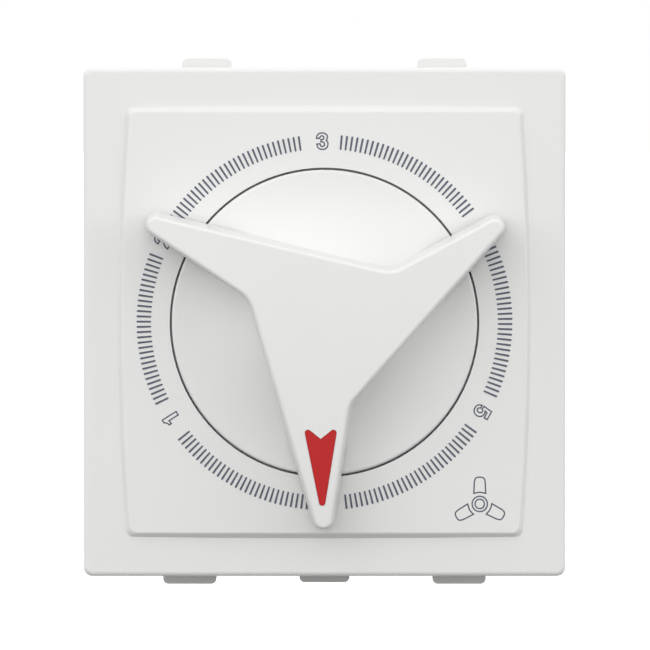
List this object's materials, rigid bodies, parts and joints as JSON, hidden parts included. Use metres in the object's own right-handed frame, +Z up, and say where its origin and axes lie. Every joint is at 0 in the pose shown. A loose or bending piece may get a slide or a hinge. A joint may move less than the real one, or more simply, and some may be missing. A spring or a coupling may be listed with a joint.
{
  "type": "fan speed control switch",
  "caption": "Two-module rotary fan speed switch: white plate with a bowed panel, three-armed dial with a red pointer, and a box with clips and terminals behind.",
  "frame": {"origin": "where the dial's axis meets the seating plane, the back of the plate's flange", "axes": "+Y out of the back, into the wall; the front faces -Y; +Z up; +X to the right seen from the front"},
  "size_m": [0.045, 0.043, 0.0493],
  "materials": {
    "plate_white": "soft gloss, moulded",
    "dial_white": "soft gloss, moulded",
    "housing_white": "satin, moulded",
    "pointer_red": "satin",
    "rotor_plastic": "natural acetal",
    "switch_black": "moulded",
    "contact_brass": "stamped",
    "terminal_brass": "drawn, machined",
    "spring_steel": "rolled strip",
    "screw_steel": "zinc plated",
    "tinned_strap": "tinned",
    "board_laminate": "paper laminate",
    "capacitor_case": "moulded box",
    "resistor_body": "lacquered"
  },
  "bodies": {
    "plate_and_housing": {"front_plate": "plate_white", "rear_housing": "housing_white", "switch_base": "switch_black", "speed_contacts": "contact_brass", "collector_ring": "contact_brass", "detent_spring": "spring_steel", "shaft_washer": "spring_steel", "switch_screws": "screw_steel", "circuit_board": "board_laminate", "capacitor_large": "capacitor_case", "capacitor_small": "capacitor_case", "discharge_resistor": "resistor_body", "surge_resistor": "resistor_body", "terminal_line": "terminal_brass", "terminal_load": "terminal_brass", "strap_line": "tinned_strap", "strap_load": "tinned_strap"},
    "turning_dial": {"dial": "dial_white", "pointer_insert": "pointer_red", "hub_clip": "spring_steel", "rotor": "rotor_plastic", "wiper_contact": "contact_brass"},
    "line_clamp": {"terminal_screw_line": "screw_steel"},
    "load_clamp": {"terminal_screw_load": "screw_steel"}
  },
  "joints": [
    {"name": "dial_turn", "type": "hinge", "parent": "plate_and_housing", "child": "turning_dial", "pos_m": [0, 0, 0], "axis": [0, 1, 0], "range_deg": [0, 300], "deforming": ["detent_spring"]},
    {"name": "line_clamp_travel", "type": "slide", "parent": "plate_and_housing", "child": "line_clamp", "axis": [0, -1, 0], "range_m": [0, 0.0028]},
    {"name": "load_clamp_travel", "type": "slide", "parent": "plate_and_housing", "child": "load_clamp", "axis": [0, -1, 0], "range_m": [0, 0.0028]}
  ]
}
